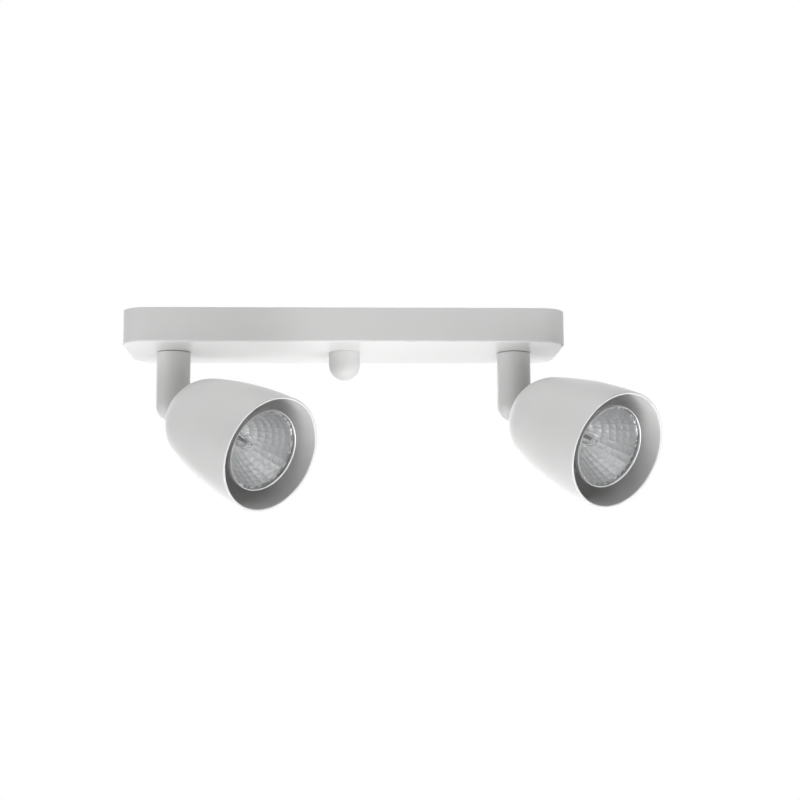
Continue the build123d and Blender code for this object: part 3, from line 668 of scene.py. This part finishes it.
def capsule_grid(head, steps=44, around=CAPSULE_AROUND):
    """
    Grid of the tube: foot + along * aim + a(along) cos t * hinge + b(along) sin t * up.

    a stays near the tube's radius, b narrows to the pinch, and both close over the round
    shoulder and run out into the nipple.
    """
    along = np.linspace(0, 1, steps) * CAPSULE_LENGTH
    past_shoulder = (along - (CAPSULE_LENGTH - SHOULDER)) / SHOULDER_REACH
    cap = np.sqrt(1 - np.clip(past_shoulder, 0, 1) ** 2)
    to_tip = np.clip((CAPSULE_LENGTH - along) / NIPPLE_LENGTH, 0, 1)
    nipple = NIPPLE_RADIUS * np.sqrt(to_tip)
    wide = np.maximum(CAPSULE_RADIUS * cap, nipple)
    opened = blend(along, *PINCH_SPAN)
    half = PINCH_HALF * (1 - opened) + CAPSULE_RADIUS * opened
    thick = np.maximum(half * cap, nipple)
    turn = np.linspace(0, 2 * np.pi, around, endpoint=False)[None, :]
    return (
        head["pivot"]
        + ((CAPSULE_FOOT + along)[:, None] + 0 * turn)[..., None] * head["aim"]
        + (wide[:, None] * np.cos(turn))[..., None] * head["hinge"]
        + (thick[:, None] * np.sin(turn))[..., None] * head["up"]
    )


def make_capsule(side):
    """
    The tube, with its open foot closed by a last row on the axis, and the gas space in it:
    a turned hollow with a half-round at each end, one wall inside the tube.
    """
    grid = capsule_grid(heads[side])
    foot = np.repeat(grid[:1].mean(axis=1, keepdims=True), grid.shape[1], axis=1)
    outside = np.concatenate([foot, grid])
    radius = CAPSULE_RADIUS - CAPSULE_WALL
    low = CAPSULE_FOOT + GAS_SPACE[0] + radius
    high = CAPSULE_FOOT + GAS_SPACE[1] - radius
    lower_end = arc((low, 0), radius, 180, 90, END_STEPS)
    upper_end = arc((high, 0), radius, 90, 0, END_STEPS)
    inside = turned(heads[side], np.concatenate([lower_end, upper_end]), CAPSULE_AROUND)
    parts = [(outside, True, False), (inside, True, False)]
    piece = grid_mesh(f"{side}_capsule", parts, sharp=CAPSULE_FOLD, hollow=True)
    return settle(piece, quartz, f"{side}_head", "clear_glass", f"{side}_lamp_capsule")


for side in heads:
    make_capsule(side)


# %% [markdown]
# Inside the capsule, a coil of tungsten hangs between its two leads. Coil and leads are
# one kind of surface: a small circle carried along a path. The circle stands square to
# the path, on two directions worked out from the path's own tangent.


# %% The filament and its leads
COIL_TURNS = 13
COIL_SPAN = (8.0 * MM, 12.6 * MM)   # from the capsule's foot
COIL_RADIUS = 0.85 * MM
WIRE_RADIUS = 0.13 * MM
LEAD_RADIUS = 0.22 * MM
LEAD_OFFSET = 2.1 * MM      # from the aim line to each lead
LEAD_START = 1.5 * MM       # from the capsule's foot, inside the pinch
LEAD_BEND = 0.8 * MM        # how far below its top a lead starts to turn in
TURNED_IN = 0.8             # share of its offset left where it reaches its top
LEAD_END = 0.6              # share of the coil's radius where it stops
TURN_STEPS = 18             # round one turn of the coil
LEAD_STEPS = 28


def tube_grid(path, radius, around=6):
    """Grid of a tube: path point + radius * (cos t * first + sin t * second)."""
    tangent = np.gradient(path, axis=0)
    tangent /= np.linalg.norm(tangent, axis=1, keepdims=True)
    guide = np.array([0.13, 0.21, 0.97])    # any line that no part of a path follows
    first = np.cross(tangent, guide)
    first /= np.linalg.norm(first, axis=1, keepdims=True)
    second = np.cross(tangent, first)
    turn = np.linspace(0, 2 * np.pi, around, endpoint=False)[None, :, None]
    spoke = np.cos(turn) * first[:, None] + np.sin(turn) * second[:, None]
    tube = path[:, None] + radius * spoke
    start = np.repeat(path[:1, None], around, axis=1)
    end = np.repeat(path[-1:, None], around, axis=1)
    return np.concatenate([start, tube, end])


def make_filament(side):
    """A helix about the aim, centre + radius * (cos, sin) while it climbs, and two leads."""
    head = heads[side]
    low, high = CAPSULE_FOOT + COIL_SPAN[0], CAPSULE_FOOT + COIL_SPAN[1]
    t = np.linspace(0, 1, COIL_TURNS * TURN_STEPS)
    angle = (2 * np.pi * COIL_TURNS * t)[:, None]
    along = (low + (high - low) * t)[:, None]
    spoke = np.cos(angle) * head["hinge"] + np.sin(angle) * head["up"]
    helix = head["pivot"] + along * head["aim"] + COIL_RADIUS * spoke

    def lead(sideways, top):
        """Straight from the pinch towards the top, then in to the coil's end there."""
        stops = np.array([
            [CAPSULE_FOOT + LEAD_START, sideways],
            [top - LEAD_BEND, sideways],
            [top, sideways * TURNED_IN],
            [top, np.sign(sideways) * COIL_RADIUS * LEAD_END],
        ])
        fine = np.linspace(0, len(stops) - 1, LEAD_STEPS)
        steps = np.arange(len(stops))
        up = np.interp(fine, steps, stops[:, 0])[:, None]
        across = np.interp(fine, steps, stops[:, 1])[:, None]
        return head["pivot"] + up * head["aim"] + across * head["hinge"]

    parts = [
        (tube_grid(helix, WIRE_RADIUS), True, False),
        (tube_grid(lead(LEAD_OFFSET, high), LEAD_RADIUS), True, False),
        (tube_grid(lead(-LEAD_OFFSET, low), LEAD_RADIUS), True, False),
    ]
    piece = grid_mesh(f"{side}_filament", parts)
    return settle(piece, tungsten, f"{side}_head", "zinc_steel")


for side in heads:
    make_filament(side)

# %% [markdown]
# ## Knob
# The domed nut under the canopy is turned and polished before it is painted. Its profile is
# a small chamfer where it meets the canopy, a short straight side and a round end.

# %% The knob under the canopy
KNOB_CHAMFER = 0.4 * MM
KNOB_STEPS = 32             # over its round end
KNOB_AROUND = 128

knob_low, knob_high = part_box("cap_nut")
knob_radius = (knob_high.x - knob_low.x) / 2
knob_seat = -knob_high.z
knob = {
    "pivot": np.zeros(3),
    "hinge": np.array([1.0, 0.0, 0.0]),
    "aim": np.array([0.0, 0.0, -1.0]),
    "up": np.array([0.0, 1.0, 0.0]),
}
straight = (knob_high.z - knob_low.z) - knob_radius
knob_profile = np.concatenate([
    [(knob_seat, 0.0)],
    [(knob_seat, knob_radius - KNOB_CHAMFER), (knob_seat + KNOB_CHAMFER, knob_radius)],
    arc((knob_seat + straight, 0.0), knob_radius, 90, 0, KNOB_STEPS),
])
knob_grid = turned(knob, knob_profile, KNOB_AROUND)
knob_piece = grid_mesh("domed_knob", [(knob_grid, True, False)])
settle(knob_piece, enamel, "canopy", "white_enamel", "cap_nut")

# %% [markdown]
# ## Floor, light and camera
# The object hangs over a wide pale floor, in a white room. Camera rays, and the rays that
# mirror or pass through, see plain white, and the floor's own colour fades into that white
# towards its edge. The light comes from soft boxes. Those below stand nearest and light the
# object most, because the photograph shows the canopy's underside paler than its front, and
# the top, the left and the back have their own. Those on the right are weak, so surfaces
# that face right are the darkest ones, and one small box shines up into the open mouths.

# %% Floor
FLOOR_LEVEL = -0.9
FLOOR_RADIUS = 5.0
FLOOR_ROWS = 8              # of points, from the middle to the edge
FLOOR_AROUND = 96
NEAR_GLOW = 0.45            # what camera rays add to the floor under the object
FAR_GLOW = 1.0              # and towards its edge, where it meets the white room
GLOW_START = 0.6            # metres from the middle, where the glow starts to grow
GLOW_END = 0.8 * FLOOR_RADIUS


def make_floor():
    """Round floor: rings of points whose radius grows evenly out to the floor's edge."""
    turn = np.linspace(0, 2 * np.pi, FLOOR_AROUND, endpoint=False)[None, :]
    radius = np.linspace(0, FLOOR_RADIUS, FLOOR_ROWS)[:, None]
    level = FLOOR_LEVEL + 0 * radius * turn
    grid = np.stack([radius * np.cos(turn), radius * np.sin(turn), level], axis=-1)
    floor = grid_mesh("floor", [(grid, True, False)])
    material = bpy.data.materials.new("floor_white")
    material.use_nodes = True
    tree = material.node_tree
    shader = tree.nodes["Principled BSDF"]
    shader.inputs["Base Color"].default_value = (0.86, 0.86, 0.86, 1)
    shader.inputs["Roughness"].default_value = 0.8
    shader.inputs["Emission Color"].default_value = (1, 1, 1, 1)
    place = put(tree, "ShaderNodeTexCoord")
    distance = put(tree, "ShaderNodeVectorMath", operation="LENGTH")
    glow = put(tree, "ShaderNodeMapRange", interpolation_type="SMOOTHSTEP")
    glow.inputs["From Min"].default_value = GLOW_START
    glow.inputs["From Max"].default_value = GLOW_END
    glow.inputs["To Min"].default_value = NEAR_GLOW
    glow.inputs["To Max"].default_value = FAR_GLOW
    rays = put(tree, "ShaderNodeLightPath")
    lift = put(tree, "ShaderNodeMath", operation="MULTIPLY")
    tree.links.new(place.outputs["Object"], distance.inputs[0])
    tree.links.new(distance.outputs["Value"], glow.inputs["Value"])
    tree.links.new(glow.outputs["Result"], lift.inputs[0])
    tree.links.new(rays.outputs["Is Camera Ray"], lift.inputs[1])
    tree.links.new(lift.outputs[0], shader.inputs["Emission Strength"])
    floor.data.materials.append(material)


make_floor()

# %% Sky
SKY_LIGHT = 0.08            # what the room gives to rays that only light surfaces


def make_sky():
    """White for camera, glossy and transmission rays, and a dim even light for the rest."""
    world = bpy.data.worlds.new("studio_sky")
    bpy.context.scene.world = world
    world.use_nodes = True
    tree = world.node_tree
    tree.nodes.clear()
    rays = put(tree, "ShaderNodeLightPath")
    either = put(tree, "ShaderNodeMath", operation="MAXIMUM")
    seen = put(tree, "ShaderNodeMath", operation="MAXIMUM")
    dim = put(tree, "ShaderNodeBackground")
    dim.inputs["Color"].default_value = (1, 1, 1, 1)
    dim.inputs["Strength"].default_value = SKY_LIGHT
    white = put(tree, "ShaderNodeBackground")
    white.inputs["Color"].default_value = (1, 1, 1, 1)
    white.inputs["Strength"].default_value = 1.0
    mix = put(tree, "ShaderNodeMixShader")
    out = put(tree, "ShaderNodeOutputWorld")
    tree.links.new(rays.outputs["Is Camera Ray"], either.inputs[0])
    tree.links.new(rays.outputs["Is Glossy Ray"], either.inputs[1])
    tree.links.new(either.outputs[0], seen.inputs[0])
    tree.links.new(rays.outputs["Is Transmission Ray"], seen.inputs[1])
    tree.links.new(seen.outputs[0], mix.inputs[0])
    tree.links.new(dim.outputs[0], mix.inputs[1])
    tree.links.new(white.outputs[0], mix.inputs[2])
    tree.links.new(mix.outputs[0], out.inputs["Surface"])


make_sky()


# %% Soft boxes
def soft_box(name, place, target, width, watts):
    """Square area light at a place, turned to its target, unseen by the camera."""
    light = bpy.data.lights.new(name, "AREA")
    light.size = width
    light.energy = watts
    lamp = bpy.data.objects.new(name, light)
    lamp.location = place
    lamp.rotation_euler = (Vector(target) - Vector(place)).to_track_quat("-Z", "Y").to_euler()
    lamp.visible_camera = False
    bpy.context.scene.collection.objects.link(lamp)
    print(name, "at", place, "gives", watts, "watts")


aimed_at = (0.02, -0.02, -0.06)     # near the middle of the object
soft_boxes = {
    # name: place and width in metres, watts
    "light_below_wide": ((0.1, -0.3, -0.85), 2.4, 13.0),
    "light_below": ((0.1, -0.3, -0.86), 0.5, 3.0),
    "light_right_below": ((0.9, -0.6, -0.86), 0.6, 6.3),
    "light_right_above": ((1.15, -1.3, 1.0), 1.0, 2.4),
    "light_left_below": ((-1.3, -0.3, -0.6), 1.0, 6.8),
    "light_top": ((-0.4, -0.4, 1.5), 1.4, 17.0),
    "light_right": ((1.9, 0.4, -0.1), 1.2, 1.6),
    "light_back": ((-0.3, 1.9, -0.05), 2.0, 16.0),
}
for name, (place, width, watts) in soft_boxes.items():
    soft_box(name, place, aimed_at, width, watts)

# %% Camera
PHOTO_WIDTH = 800
FOCAL_PIXELS = 1615.2
CAMERA_PLACE = (-0.00656, -1.0, -0.1952)
CAMERA_YAW = 2.37           # degrees towards +X
CAMERA_PITCH = 8.21         # degrees above the horizontal
CAMERA_ROLL = -0.31         # degrees about its own view line
SENSOR_WIDTH = 36.0         # millimetres

camera_data = bpy.data.cameras.new("photo_camera")
camera_data.sensor_width = SENSOR_WIDTH
camera_data.lens = SENSOR_WIDTH * FOCAL_PIXELS / PHOTO_WIDTH
camera = bpy.data.objects.new("photo_camera", camera_data)
camera.location = CAMERA_PLACE
look = Euler((radians(90 + CAMERA_PITCH), 0, radians(-CAMERA_YAW))).to_matrix()
camera.rotation_euler = (look @ Matrix.Rotation(radians(CAMERA_ROLL), 3, "Z")).to_euler()
bpy.context.scene.collection.objects.link(camera)
bpy.context.scene.camera = camera
print("camera lens", round(camera_data.lens, 1), "mm")

# %% Colours as they are written
bpy.context.scene.view_settings.view_transform = "Standard"
